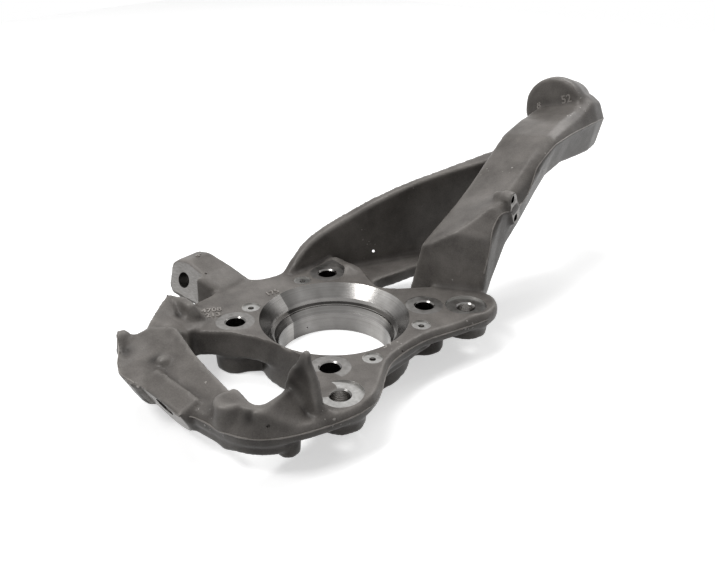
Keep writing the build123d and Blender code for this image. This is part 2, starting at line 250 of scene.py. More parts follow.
@dataclass(frozen=True)
class CastSkin:
    """Sand-cast aluminium after shot blasting: a dull warm grey with a fine grain, blotches and bare flecks.

    The blasted skin scatters nearly all light, so its shader has only a trace of metal and of gloss.
    """

    name: str = "cast_aluminium_blasted"
    dark: str = "#56524f"
    middle: str = "#716d69"
    pale: str = "#87827e"
    rubbed: str = "#aeaaa5"   # flecks and edges that are rubbed bare
    shade_tone: str = "#2b2826"     # painted shade in the hollows and corners
    grain: float = 0.9        # blasting dimples, coarser than the real 0.3 so that they show
    fleck: float = 2.6
    peel: float = 4.5         # slow unevenness of the sand mould
    blotch: float = 28.0
    patch: float = 34.0       # size of the places where flecks gather
    bare: Spot = (0.465, 0.5)     # strength of the noise where a fleck starts and where it is full
    rough: Spot = (0.3, 0.42)
    grain_depth: float = 0.12
    peel_depth: float = 0.25
    metal: float = 0.06
    gloss: float = 0.16

    def material(self) -> bpy.types.Material:
        """Build the material.

        Returns:
            The finished material.
        """
        made, tree, shader = blank_material(self.name)
        place = node(tree, "ShaderNodeTexCoord").outputs["Object"]
        grain = clouds(tree, place, self.grain, 3.0, 0.7)
        peel = clouds(tree, place, self.peel, 2.0)
        slow = node(tree, "ShaderNodeBump", Height=peel, Strength=0.35, Distance=self.peel_depth * MM)
        fine = node(tree, "ShaderNodeBump", Height=grain, Strength=0.45, Distance=self.grain_depth * MM,
                    Normal=slow.outputs["Normal"])
        tree.links.new(self.colour(tree, place, grain), shader.inputs["Base Color"])
        tree.links.new(between(tree, peel, *self.rough), shader.inputs["Roughness"])
        tree.links.new(fine.outputs["Normal"], shader.inputs["Normal"])
        shader.inputs["Metallic"].default_value = self.metal
        shader.inputs["Specular IOR Level"].default_value = self.gloss
        return made

    def colour(self, tree: bpy.types.NodeTree, place: Socket, grain: Socket) -> Socket:
        """Mix the skin's colour from its body, the painted shade of its hollows and corners, and what is
        rubbed bare.

        Args:
            tree: The node tree.
            place: Object coordinates.
            grain: The value of the blasting dimples.

        Returns:
            The colour socket.
        """
        blotch = maths(tree, "MULTIPLY_ADD", clouds(tree, place, self.blotch, 5.0, 0.6), 0.9, -0.12)
        tone = maths(tree, "MULTIPLY_ADD", grain, 0.35, blotch)
        body = ramp(tree, tone, {0.3: self.dark, 0.52: self.middle, 0.75: self.pale})
        # Painted shade: the body darkens towards a near-black in hollows and at the listed spots.
        hollow = node(tree, "ShaderNodeAttribute", {"attribute_name": PAINTED_SHADE}).outputs["Fac"]
        shaded_body = node(tree, "ShaderNodeMixRGB", Fac=hollow, Color1=body, Color2=linear(self.shade_tone))
        small = clouds(tree, place, self.fleck, 1.0)
        large = clouds(tree, place, self.patch, 1.0)
        flecks = maths(tree, "MULTIPLY", small, large)
        bare = node(tree, "ShaderNodeMapRange", Value=flecks, From_Min=self.bare[0], From_Max=self.bare[1])
        worn = node(tree, "ShaderNodeAttribute", {"attribute_name": WORN}).outputs["Fac"]
        rubbed = maths(tree, "MAXIMUM", bare.outputs["Result"], worn)
        mixed = node(tree, "ShaderNodeMixRGB", Fac=rubbed, Color1=shaded_body.outputs["Color"],
                     Color2=linear(self.rubbed))
        return mixed.outputs["Color"]


@dataclass(frozen=True)
class CutSkin:
    """Bare cut aluminium: bright, with the fine lines of the tool and streaks of light across them; on turned
    places the streaks are partly a painted highlight in the colour.
    """

    name: str
    wave: Wave
    base: str
    lines: float = 0.5        # pitch of the tool marks that show
    rough: float = 0.24
    streak: float = 0.5       # how far a turned place draws its highlights out
    line_depth: float = 0.03
    cloud: float = 9.0        # size of the duller patches
    thread_pitch: float = 1.25
    thread_depth: float = 0.5

    def marks(self, tree: bpy.types.NodeTree, place: Socket) -> Socket:
        """Give the vector along which the tool marks run as lines.

        Args:
            tree: The node tree.
            place: Object coordinates.

        Returns:
            A vector that changes little along a mark, or not at all.
        """
        if self.wave is Wave.MILLED:
            return vector_maths(tree, "MULTIPLY", place, (0.25, 0.25, 1.0)).outputs[0]
        flat = vector_maths(tree, "MULTIPLY", place, (1.0, 1.0, 0.0)).outputs[0]
        reach = vector_maths(tree, "LENGTH", flat).outputs["Value"]
        height = node(tree, "ShaderNodeSeparateXYZ", Vector=place).outputs["Z"]
        return node(tree, "ShaderNodeCombineXYZ", X=reach, Z=height).outputs[0]

    def painted_streaks(self, tree: bpy.types.NodeTree, place: Socket) -> Socket:
        """Paint highlight streaks into a turned place's colour, lighter and darker by the angle round the
        hub's axis.

        Args:
            tree: The node tree.
            place: Object coordinates.

        Returns:
            The colour to multiply by.
        """
        split = node(tree, "ShaderNodeSeparateXYZ", Vector=place)
        angle = maths(tree, "ARCTAN2", split.outputs["Y"], split.outputs["X"])
        made = node(tree, "ShaderNodeTexNoise", {"noise_dimensions": "1D"}, W=angle, Scale=1.1, Detail=1.0)
        return ramp(tree, made.outputs["Fac"], {0.34: "#aaaaaa", 0.5: "#d2d2d2", 0.62: "#ffffff"})

    def rings(self, tree: bpy.types.NodeTree, place: Socket) -> Socket:
        """Give the height of the thread's rings, which lie ten to the length of pi in a wave of scale one."""
        scale = math.pi / 10 / (self.thread_pitch * MM)
        made = node(tree, "ShaderNodeTexWave", {"bands_direction": "Z"}, Vector=place, Scale=scale)
        return made.outputs["Fac"]

    def material(self) -> bpy.types.Material:
        """Build the material.

        Returns:
            The finished material.
        """
        made, tree, shader = blank_material(self.name)
        place = node(tree, "ShaderNodeTexCoord").outputs["Object"]
        lines = clouds(tree, self.marks(tree, place), self.lines, 2.0)
        cloud = clouds(tree, place, self.cloud, 3.0)
        shade = maths(tree, "MULTIPLY_ADD", lines, 0.6, maths(tree, "MULTIPLY", cloud, 0.4))
        colour = multiplied(tree, linear(self.base), ramp(tree, shade, {0.3: "#c8c7c5", 0.7: "#ffffff"}))
        height = lines
        depth = self.line_depth
        if self.wave is Wave.THREADED:
            height = self.rings(tree, place)
            depth = self.thread_depth
        if self.wave is Wave.TURNED:
            # Painted highlight: streaks by the angle round the hub's axis, multiplied into the colour.
            colour = multiplied(tree, colour, self.painted_streaks(tree, place))
            round_axis = vector_maths(tree, "CROSS_PRODUCT", (0.0, 0.0, 1.0), place)
            tree.links.new(round_axis.outputs[0], shader.inputs["Tangent"])
            shader.inputs["Anisotropic"].default_value = self.streak
        bump = node(tree, "ShaderNodeBump", Height=height, Strength=0.5, Distance=depth * MM)
        tree.links.new(colour, shader.inputs["Base Color"])
        tree.links.new(between(tree, cloud, self.rough * 0.8, self.rough * 1.3), shader.inputs["Roughness"])
        tree.links.new(bump.outputs["Normal"], shader.inputs["Normal"])
        shader.inputs["Metallic"].default_value = 1.0
        return made


class Finishes:
    """Every finish of the knuckle, made once."""

    def __init__(self) -> None:
        """Build the materials."""
        # The raw casting, blasted with shot.
        self.cast = CastSkin().material()
        # The same casting on beads of flash and raised numbers, where things rub against it.
        self.crest = CastSkin("cast_aluminium_rubbed", "#7a7571", "#97928d", "#aca8a3").material()
        # Aluminium bored and chamfered by a turning tool.
        self.turned = CutSkin("turned_aluminium", Wave.TURNED, "#aaa8a6", rough=0.2, streak=0.7).material()
        # Aluminium faced by a milling cutter, with broad flat marks.
        self.milled = CutSkin("milled_aluminium", Wave.MILLED, "#918f8d", lines=0.8, rough=0.4).material()
        # Aluminium faced by a spot facer, which leaves it smoother and brighter.
        self.spot = CutSkin("spotfaced_aluminium", Wave.MILLED, "#b9b8b6", lines=0.6, rough=0.3).material()
        # The wall that a drill leaves in aluminium.
        self.drilled = CutSkin("drilled_aluminium", Wave.TURNED, "#8f8c8a", rough=0.3).material()
        # A tapped hole in aluminium, with the thread's rings.
        self.threaded = CutSkin("threaded_aluminium", Wave.THREADED, "#a09d9a", rough=0.25).material()


def upright(x: float, y: float) -> Matrix:
    """A place on a vertical axis."""
    return Matrix.Translation(metres((x, y, 0)))


def turned_to(origin: Point, out: Point) -> Matrix:
    """A place whose Z axis points along a direction.

    Args:
        origin: The point, in millimetres.
        out: The direction of the local Z axis.

    Returns:
        The matrix from local metres to the model's metres.
    """
    return Matrix.Translation(metres(origin)) @ Vector(out).to_track_quat("Z", "Y").to_matrix().to_4x4()


def framed(origin: Vector, along: Vector, up: Vector) -> Matrix:
    """A place with its X axis along one unit vector and its Z axis along another, at right angles to it.

    Args:
        origin: The point, in metres.
        along: The local X axis.
        up: The local Z axis.

    Returns:
        The matrix from local metres to the model's metres.
    """
    return Matrix.Translation(origin) @ Matrix((along, up.cross(along), up)).transposed().to_4x4()


def sized(x: float, y: float, z: float) -> Matrix:
    """A scaling to a size in millimetres."""
    return Matrix.Diagonal((x * MM, y * MM, z * MM, 1))


def cone(bm: bmesh.types.BMesh, place: Matrix, z0: float, z1: float, r0: float, r1: float | None = None,
         segments: int = 64) -> None:
    """Add a closed cylinder or cone.

    Args:
        bm: The mesh that gets it.
        place: The matrix of its axis.
        z0: Its low end, in millimetres.
        z1: Its high end.
        r0: Radius at the low end.
        r1: Radius at the high end, if it differs.
        segments: Number of sides.
    """
    shift = Matrix.Translation(Vector((0, 0, (z0 + z1) / 2 * MM)))
    high = r0 if r1 is None else r1
    bmesh.ops.create_cone(bm, cap_ends=True, segments=segments, radius1=r0 * MM, radius2=high * MM,
                          depth=(z1 - z0) * MM, matrix=place @ shift)


def finish_object(bm: bmesh.types.BMesh, name: str, *materials: bpy.types.Material) -> bpy.types.Object:
    """Turn a bmesh into a linked object.

    Args:
        bm: The mesh, which is freed.
        name: The object's name.
        materials: Its material slots.

    Returns:
        The new object.
    """
    mesh = bpy.data.meshes.new(name)
    bm.to_mesh(mesh)
    bm.free()
    made = bpy.data.objects.new(name, mesh)
    for material in materials:
        mesh.materials.append(material)
    bpy.context.scene.collection.objects.link(made)
    return made


def bake(obj: bpy.types.Object) -> None:
    """Apply every modifier of an object to its mesh."""
    bpy.context.view_layer.update()
    graph = bpy.context.evaluated_depsgraph_get()
    old = obj.data
    obj.data = bpy.data.meshes.new_from_object(obj.evaluated_get(graph))
    obj.modifiers.clear()
    bpy.data.meshes.remove(old)


def carve(body: bpy.types.Object, cutter: bpy.types.Object, operation: str = "DIFFERENCE") -> None:
    """Cut one object by another, or join them, and drop the tool.

    Args:
        body: The object that is kept.
        cutter: The tool, whose material goes onto the new faces.
        operation: The kind of boolean.
    """
    made = body.modifiers.new("carve", "BOOLEAN")
    made.object = cutter
    made.operation = operation
    made.solver = "MANIFOLD"
    made.material_mode = "TRANSFER"
    bake(body)
    mesh = cutter.data
    bpy.data.objects.remove(cutter)
    bpy.data.meshes.remove(mesh)


@dataclass(frozen=True)
class Cut:
    """A round cutter or plug on every hole of a kind.

    Its ends are heights over the mouth of the hole.
    """

    hole: Hole
    low: float
    high: float
    radius: float
    top_radius: float | None = None
    sides: int = 64


@dataclass
class Machining:
    """Every turned, drilled and milled place, with the sizes of the frame's solid."""

    hub_depth: float = 33.0
    bore: tuple[Spot, ...] = (    # radius and height of the turned profile, from over the face downwards
        (0, 6), (56.5, 6), (50.5, 0), (43.0, -8.5), (43.0, -12.6), (40.9, -12.6), (41.8, -13.2),
        (41.8, -14.2), (40.9, -15.4), (38.35, -18.6), (38.35, -35), (0, -35),
    )
    hub_bolts: tuple[Spot, ...] = ((-46.6, -47.3), (-46.6, 47.3), (38.8, -50.6), (38.8, 50.6))
    ears: tuple[Spot, ...] = ((61.4, -68.4), (61.4, 68.4))
    shield: tuple[Spot, ...] = ((-52.8, -26.5), (-52.8, 26.5), (52.8, -26.5), (52.8, 26.5))
    arm: Point = (-120.4, -28.0, 0.4)
    arm_lean: float = 16.0        # degrees
    arm_length: float = 33.0
    arm_right: float = 19.0       # the milled face ends this far right of the hole
    arm_cutter: Point = (46.0, 46.0, 28.0)
    joint: Point = (-15.0, -134.0, -7.0)
    joint_out: Point = (-0.1, -0.89, -0.455)
    joint_right: Point = (0.98, -0.19, -0.01)
    joint_radius: float = 21.6    # the seat's 21 and a margin for the softened skin
    joint_chord: float = 9.5      # the seat's 8 and a margin
    joint_rise: float = 9.0
    pad_x: float = 61.5
    pad: tuple[Spot, ...] = ((125.0, 61.0), (132.0, 45.0))
    head: Point = (25.5, 288.0, 94.0)
    bearing_cutter: Point = (400.0, 400.0, 20.0)
    plugs: tuple[Cut, ...] = (
        Cut(Hole.BORE, -hub_depth, -0.2, 51.5, sides=96),
        Cut(Hole.HUB_BOLT, -hub_depth, -0.1, 8.0),
        Cut(Hole.EAR, -18.9, -0.1, 15.0),
        Cut(Hole.SHIELD, -15.0, -0.1, 7.0),
        Cut(Hole.ARM, -arm_length, -0.2, 7.0),
        Cut(Hole.JOINT, -14.0, -0.2, 8.0),
        Cut(Hole.PAD, -15.0, -0.1, 3.6),
        Cut(Hole.HEAD, -31.0, -0.1, 9.5),
    )
    pad_block: tuple[Cut, ...] = (Cut(Hole.PAD, -9.0, 0.6, 7.6, 5.5, sides=48),)
    seats: tuple[Cut, ...] = (Cut(Hole.HUB_BOLT, 0.0, 12.0, 13.0),)
    spot_faces: tuple[Cut, ...] = (
        Cut(Hole.EAR, -1.2, 12.0, 14.3),
        Cut(Hole.SHIELD, -0.8, 12.0, 6.4),
    )
    chamfers: tuple[Cut, ...] = (
        Cut(Hole.HUB_BOLT, -0.9, 0.5, 6.3, 7.7),
        Cut(Hole.EAR, -2.1, -0.7, 6.0, 7.4),
        Cut(Hole.PAD, -0.9, 0.4, 2.8, 4.1, sides=32),
    )
    drills: tuple[Cut, ...] = (
        Cut(Hole.HUB_BOLT, -hub_depth - 2.0, 3.0, 6.3),
        Cut(Hole.ARM, -arm_length - 6.0, 3.0, 5.8),
        Cut(Hole.JOINT, -13.0, 3.0, 6.7),
        Cut(Hole.HEAD, -30.0, 3.0, 8.0),
    )
    taps: tuple[Cut, ...] = (
        Cut(Hole.EAR, -24.0, 3.0, 6.0),
        Cut(Hole.SHIELD, -14.0, 3.0, 2.1, sides=32),
        Cut(Hole.PAD, -14.0, 3.0, 2.8, sides=32),
    )
    round_mills: tuple[Cut, ...] = (
        Cut(Hole.ARM, -arm_length - 18.0, -arm_length, 11.0),
        Cut(Hole.HEAD, 0.0, 14.0, 22.0),
        Cut(Hole.PAD, 0.0, 3.0, 12.0),
    )

    def arm_out(self) -> Point:
        """The direction that the arm's milled face looks in."""
        lean = math.radians(self.arm_lean)
        return (0.0, -math.cos(lean), math.sin(lean))

    def places(self, hole: Hole) -> list[Matrix]:
        """Give the mouths of every hole of a kind.

        Args:
            hole: The kind.

        Returns:
            A place for each, with its Z axis out of the metal.
        """
        vertical = {
            Hole.BORE: ((0, 0),),
            Hole.HUB_BOLT: self.hub_bolts,
            Hole.EAR: self.ears,
            Hole.SHIELD: self.shield,
        }
        if hole in vertical:
            return [upright(x, y) for x, y in vertical[hole]]
        leaning = {
            Hole.ARM: [(self.arm, self.arm_out())],
            Hole.JOINT: [(self.joint, self.joint_out)],
            Hole.HEAD: [(self.head, (0, 1, 0))],
            Hole.PAD: [((self.pad_x, y, z), (1, 0, 0)) for y, z in self.pad],
        }
        return [turned_to(origin, out) for origin, out in leaning[hole]]

    def add(self, bm: bmesh.types.BMesh, cuts: tuple[Cut, ...]) -> None:
        """Add round cutters or plugs to a mesh.

        Args:
            bm: The mesh that gets them.
            cuts: What is added on which holes.
        """
        for cut in cuts:
            for place in self.places(cut.hole):
                cone(bm, place, cut.low, cut.high, cut.radius, cut.top_radius, cut.sides)

    def round_tool(self, name: str, cuts: tuple[Cut, ...], finish: bpy.types.Material) -> bpy.types.Object:
        """Make one tool of round cutters.

        Args:
            name: The tool's name.
            cuts: What it cuts.
            finish: The finish that it leaves.

        Returns:
            The tool.
        """
        bm = bmesh.new()
        self.add(bm, cuts)
        return finish_object(bm, name, finish)

    def sensor_pad(self, finishes: Finishes) -> bpy.types.Object:
        """Make the raised pad of the wheel speed sensor, which is milled with the other faces.

        Args:
            finishes: The finishes to choose from.

        Returns:
            The pad.
        """
        bm = bmesh.new()
        self.add(bm, self.pad_block)
        hull = bmesh.ops.convex_hull(bm, input=bm.verts)
        loose = hull["geom_interior"] + hull["geom_unused"]
        spare = {part for part in loose if isinstance(part, bmesh.types.BMVert)}
        bmesh.ops.delete(bm, geom=list(spare), context="VERTS")
        inner = [f for f in bm.faces if not all(e.is_manifold for e in f.edges)]
        bmesh.ops.delete(bm, geom=inner, context="FACES")
        return finish_object(bm, "pad_block", finishes.cast)

    def bore_tool(self, finishes: Finishes) -> bpy.types.Object:
        """Make the tool of the stepped bore.

        Args:
            finishes: The finishes to choose from.

        Returns:
            The tool.
        """
        bm = bmesh.new()
        points = [bm.verts.new(metres((r, 0, z))) for r, z in self.bore]
        edges = [bm.edges.new(pair) for pair in zip(points, points[1:])]
        bmesh.ops.spin(bm, geom=points + edges, cent=(0, 0, 0), axis=(0, 0, 1), angle=2 * math.pi, steps=180,
                       use_merge=True)
        bmesh.ops.remove_doubles(bm, verts=bm.verts, dist=1e-6)
        bmesh.ops.recalc_face_normals(bm, faces=bm.faces)
        return finish_object(bm, "bore_tool", finishes.turned)

    def add_joint_cutter(self, bm: bmesh.types.BMesh) -> None:
        """Add the D-shaped cutter of the lower ball joint's seat.

        Args:
            bm: The mesh that gets it.
        """
        out = Vector(self.joint_out).normalized()
        right = (Vector(self.joint_right) - out * Vector(self.joint_right).dot(out)).normalized()
        place = framed(metres(self.joint), right, out)
        part = bmesh.new()
        cone(part, place, 0, self.joint_rise, self.joint_radius)
        cut = bmesh.ops.bisect_plane(part, geom=part.verts[:] + part.edges[:] + part.faces[:],
                                     plane_co=place @ Vector((0, self.joint_chord * MM, 0)),
                                     plane_no=out.cross(right), clear_outer=True)
        rim = [edge for edge in cut["geom_cut"] if isinstance(edge, bmesh.types.BMEdge)]
        bmesh.ops.contextual_create(part, geom=rim)
        mesh = bpy.data.meshes.new("joint_cutter")
        part.to_mesh(mesh)
        part.free()
        bm.from_mesh(mesh)
        bpy.data.meshes.remove(mesh)

    def mill_tool(self, finishes: Finishes) -> bpy.types.Object:
        """Make the tool of the flat milled faces: the arm, the ball joints and the face of the hub bearing.

        Args:
            finishes: The finishes to choose from.

        Returns:
            The tool.
        """
        bm = bmesh.new()
        place = self.places(Hole.ARM)[0]
        right = place.to_3x3().inverted() @ Vector((1, 0, 0))
        wide, _, high = self.arm_cutter
        shift = Matrix.Translation(right * (self.arm_right - wide / 2) * MM + Vector((0, 0, high / 2 * MM)))
        bmesh.ops.create_cube(bm, size=1.0, matrix=place @ shift @ sized(*self.arm_cutter))
        self.add(bm, self.round_mills)
        self.add_joint_cutter(bm)
        under = Matrix.Translation(metres((0, 0, -self.hub_depth - self.bearing_cutter[2] / 2)))
        bmesh.ops.create_cube(bm, size=1.0, matrix=under @ sized(*self.bearing_cutter))
        return finish_object(bm, "mill_tool", finishes.milled)

    def cut(self, body: bpy.types.Object, finishes: Finishes) -> None:
        """Cut every machined place into the skin.

        Args:
            body: The softened casting.
            finishes: The finishes of the cut places.
        """
        carve(body, self.bore_tool(finishes))
        carve(body, self.round_tool("seat_tool", self.seats, finishes.milled))
        carve(body, self.round_tool("spot_tool", self.spot_faces, finishes.spot))
        carve(body, self.round_tool("chamfer_tool", self.chamfers, finishes.turned))
        carve(body, self.round_tool("drill_tool", self.drills, finishes.drilled))
        carve(body, self.round_tool("tap_tool", self.taps, finishes.threaded))
        carve(body, self.mill_tool(finishes))


def blurred(bm: bmesh.types.BMesh, rounds: int, shares: tuple[float, ...]) -> np.ndarray:
    """Move every vertex towards the mean of its neighbours, or away from it, again and again.

    Args:
        bm: The mesh, which stays as it is.
        rounds: Number of rounds.
        shares: The steps of one round, as shares of the way to the mean.

    Returns:
        The moved places, one a row.
    """
    bm.verts.index_update()
    spots = np.array([tuple(v.co) for v in bm.verts])
    ends = np.array([(e.verts[0].index, e.verts[1].index) for e in bm.edges])
    near = np.concatenate([ends, ends[:, ::-1]])
    count = np.bincount(near[:, 0], minlength=len(spots))[:, None]
    for share in shares * rounds:
        total = np.stack([np.bincount(near[:, 0], weights=spots[near[:, 1], k], minlength=len(spots))
                          for k in range(3)], axis=1)
        spots += share * (total / count - spots)
    return spots


def away(points: np.ndarray, path: np.ndarray) -> np.ndarray:
    """Distance of points from a path.

    Args:
        points: The points, one a row.
        path: The path's points, one a row.

    Returns:
        The distance of each point.
    """
    best = np.full(len(points), np.inf)
    for a, b in zip(path, path[1:]):
        run = b - a
        share = np.clip((points - a) @ run / max(run @ run, 1e-12), 0, 1)
        best = np.minimum(best, np.linalg.norm(points - a - share[:, None] * run, axis=1))
    return best


def reached(bm: bmesh.types.BMesh, spot: Point, reach: float) -> Iterator[tuple[bmesh.types.BMVert, float]]:
    """Find the vertices round a spot.

    Args:
        bm: The mesh.
        spot: The middle, in millimetres.
        reach: The radius at which the share has fallen to about a third, in millimetres.

    Yields:
        Each vertex that is reached, with its share, which is one in the middle.
    """
    middle = metres(spot)
    for vert in bm.verts:
        far = (vert.co - middle).length / (reach * MM)
        if far < FADED:
            yield vert, math.exp(-far * far)


def limited(depth: float, gain: float, start: float, most: float) -> float:
    """Turn a depth in millimetres into a share that grows from zero up to a limit."""
    return min(most, max(0.0, depth * gain - start))


def add_curve(bm: bmesh.types.BMesh, curve: bpy.types.Curve, place: Matrix, slot: int) -> None:
    """Turn a curve into faces, put them in place and drop the curve.

    Args:
        bm: The mesh that gets the faces.
        curve: A text or a bevelled line.
        place: Where it goes, applied to the mesh.
        slot: Material slot of its faces.
    """
    holder = bpy.data.objects.new("curve_holder", curve)
    bpy.context.scene.collection.objects.link(holder)
    bpy.context.view_layer.update()
    mesh = bpy.data.meshes.new_from_object(holder.evaluated_get(bpy.context.evaluated_depsgraph_get()))
    bpy.data.objects.remove(holder)
    bpy.data.curves.remove(curve)
    mesh.transform(place)
    before = len(bm.faces)
    bm.from_mesh(mesh)
    bm.faces.ensure_lookup_table()
    for face in bm.faces[before:]:
        face.material_index = slot
    bpy.data.meshes.remove(mesh)


@dataclass(frozen=True)
class Seam:
    """A stretch of the mould's parting line, which a bead of flash follows.

    Its points lie near the skin, and the line is drawn onto the skin.
    """

    points: tuple[Point, ...]
    height: float = 0.5       # of the swell under the bead
    width: float = 1.6
    bead: float = 0.5         # radius of the bead
    step: float = 2.0         # between the points that are drawn onto the skin
    lump: float = 3.0         # length over which the bead grows and shrinks
    faded: float = 3.0        # at this many widths from the line the swell has faded away

    def path(self, skin: BVHTree) -> np.ndarray:
        """Draw the line onto the skin.

        Args:
            skin: The skin's faces.

        Returns:
            Points of the line, in metres.
        """
        made = []
        for a, b in zip(self.points, self.points[1:]):
            start, end = metres(a), metres(b)
            steps = max(1, round((end - start).length / (self.step * MM)))
            made += [start.lerp(end, i / steps) for i in range(steps)]
        made.append(metres(self.points[-1]))
        on_skin = np.array([tuple(skin.find_nearest(p)[0]) for p in made])
        for _ in range(3):
            on_skin[1:-1] = (on_skin[:-2] + 2 * on_skin[1:-1] + on_skin[2:]) / 4
        return on_skin

    def lay_bead(self, bm: bmesh.types.BMesh, skin: BVHTree, slot: int) -> None:
        """Lay the bead of flash along the line.

        Args:
            bm: The mesh that gets the bead.
            skin: The skin's faces.
            slot: Material slot of the bead.
        """
        path = self.path(skin)
        curve = bpy.data.curves.new("bead", "CURVE")
        curve.dimensions = "3D"
        curve.bevel_depth = self.bead * MM
        curve.bevel_resolution = 1
        curve.use_fill_caps = True
        line = curve.splines.new("POLY")
        line.points.add(len(path) - 1)
        for point, spot in zip(line.points, path):
            point.co = (*spot, 1.0)
            point.radius = 1.0 + 0.5 * noise.noise(Vector(spot) * (1 / (self.lump * MM)))
        add_curve(bm, curve, Matrix.Identity(4), slot)


@dataclass(frozen=True)
class Mark:
    """A plain number, cast raised on the skin."""

    text: str
    near: Point
    run: Point                # the way it is read
    size: float
    relief: float = 0.5
    edge: float = 0.15        # of the bevel

    def build(self, bm: bmesh.types.BMesh, skin: BVHTree, slot: int) -> None:
        """Add the number to the skin.

        Args:
            bm: The mesh that gets the number.
            skin: The skin's faces.
            slot: Material slot of the number.
        """
        curve = bpy.data.curves.new("mark", "FONT")
        curve.body = self.text
        curve.size = self.size * MM
        curve.extrude = self.relief * MM
        curve.bevel_depth = self.edge * MM
        curve.resolution_u = 3
        curve.align_x = curve.align_y = "CENTER"
        spot, normal, _, _ = skin.find_nearest(metres(self.near))
        along = (Vector(self.run) - normal * Vector(self.run).dot(normal)).normalized()
        add_curve(bm, curve, framed(spot, along, normal), slot)


@dataclass
class Casting:
    """The knuckle's one piece."""

    voxel: float = 1.46           # size of the skin's faces
    soften: int = 9               # rounds of smoothing, which give the casting its radii
    soften_steps: Spot = (0.5, -0.52)     # to the neighbours' mean and back, so that little size is lost
    proud: float = 0.175          # the skin stands this far proud of the solid
    waver: float = 0.25           # and wanders in and out by up to this
    waver_size: float = 24.0
    sharp: float = 38.0           # edges over this angle stay sharp, in degrees
    stain_rounds: int = 14        # of smoothing, to find what stands out and what lies deep
    shade_growth: Point = (0.9, 0.05, 0.75)      # painted shade in hollows: growth a millimetre of depth, start and limit
    wear: Point = (0.35, 0.08, 0.35)
    # darkness of the painted shade at the listed spots
    corner_shade: float = 0.85
    machining: Machining = field(default_factory=Machining)
    marks: tuple[Mark, ...] = (
        Mark("4708", (-70, -47, 0), (0.6, 0.8, 0), 7.0),
        Mark("213", (-64, -51, 0), (0.6, 0.8, 0), 7.0),
        Mark("31602", (-34, 73, -8), (0.5, 0.85, 0), 6.0),
        Mark("175", (-56, -2, 0), (0.3, 0.95, 0), 7.0),
        Mark("6", (-121, -12, 14), (0.9, 0.4, 0), 8.0),
        Mark("52", (36, 252, 104), (0.9, 0, 0.35), 9.0),
        Mark("8", (13, 252, 95), (0.9, 0, 0.35), 8.0),
    )
    pits: tuple[tuple[Point, float], ...] = (      # middle and radius of each gas pit
        ((-101.3, -22.6, 9.4), 1.0), ((53.9, -119.5, 3.0), 1.1), ((-62.4, -89.9, 10.5), 0.8),
        ((-5.5, -134.4, 2.6), 0.9), ((59.8, -5.2, -2.7), 0.8), ((-36.3, 12.3, -27.6), 0.6),
    )
    grooves: tuple[tuple[Point, Point, Point], ...] = (    # middle, run and half sizes, the last on the run
        ((-71.4, -73.6, 9.2), (0.9, -0.15, -0.4), (2.4, 2.4, 6.0)),
        ((-61.7, -123.8, 9.2), (0.78, -0.52, -0.37), (2.6, 2.6, 7.0)),
        ((44.9, -125.4, 6.9), (-0.25, 0.29, 0.92), (2.8, 2.8, 6.5)),
    )
    boss_top: Point = (-15.6, -138.6, 0.3)     # the ball joint's boss is cut down to a plane through here
    boss_up: Point = (0.08, -0.42, 1.0)
    boss_along: Point = (1.0, 0.0, -0.08)
    boss_cutter: Point = (48.0, 32.0, 20.0)
    corners: tuple[tuple[Point, float], ...] = (   # middle and reach of the spots darkened with painted shade: corners, and faces that turn from the light
        ((-43, -117, 6), 4.5), ((-62, -123.5, 8), 5.5), ((-71.4, -73.6, 8), 4.0), ((44.6, -124, 6), 4.5),
        ((17, -125, 4), 7.0), ((46, -94, 12), 11.0), ((53, -92, 24), 9.0),
    )
    # Middle, reach and height of the swells round the seats, where a cutter leaves a wall or misses the skin.
    swells: tuple[tuple[Point, float, float], ...] = (
        ((-52, 62, 0), 8.0, 5.5), ((-37, 60, -2), 7.0, 4.5), ((72, 58, 0), 8.0, 1.4),
        ((48, -70, 0), 10.0, -3.0), ((77, -58, 0), 9.0, 1.4), ((-36, -60, 0), 7.0, 1.4),
    )
    vent: tuple[Point, Point] = ((-41.2, 97.0, 2.0), (-0.55, 0.726, -0.413))
    vent_ends: Spot = (-6.0, 22.0)
    vent_radius: float = 1.0
    seams: tuple[Seam, ...] = (
        Seam((
            (80, 68, -4), (76, 55, -4), (71, 40, -4), (66, 25, -4), (61, 8, -4), (60, -6, -4), (61, -18, -4),
            (67, -33, -4), (75, -47, -4), (80, -61, -4), (79, -74, -4), (74, -89, -4), (67, -105, -4),
            (59, -118, -4), (49, -127, -4), (36, -132, -4), (20, -132, -4), (4, -133, -4), (-4, -137, -3),
        )),
        Seam((
            (60, 94, 14), (60, 97, 28), (60, 99, 39), (60, 103, 49), (60, 110, 54), (60, 120, 53),
            (60, 140, 53), (60, 150, 59), (60, 156, 67), (60, 162, 75), (60, 172, 80), (60, 188, 86),
            (60, 215, 88), (60, 240, 88), (60, 262, 88), (58, 280, 86),
        )),
        Seam((
            (-73, -119, 15), (-68, -126, 11), (-64, -130, 8), (-62, -134, 5), (-50, -137, 2.5),
            (-37, -137, 1),
        )),
        Seam(((3, -137, -3), (-4, -137, -3.5), (-10, -136, -4))),
    )

    def skin(self, finishes: Finishes) -> bpy.types.Object:
        """Make the whole skin from the frame's solid, with its holes filled.

        Args:
            finishes: The finishes, of which the skin gets the two cast ones.

        Returns:
            The remeshed object.
        """
        bm = bmesh.new()
        bm.from_mesh(bpy.data.objects[NODE].data)
        bmesh.ops.remove_doubles(bm, verts=bm.verts, dist=2e-6)
        self.machining.add(bm, self.machining.plugs)
        made = finish_object(bm, "casting_skin", finishes.cast, finishes.crest)
        self.remesh(made)
        return made

    def remesh(self, made: bpy.types.Object) -> None:
        """Give the skin even faces.

        Args:
            made: The skin.
        """
        remesh = made.modifiers.new("remesh", "REMESH")
        remesh.mode = "VOXEL"
        remesh.voxel_size = self.voxel * MM
        bake(made)

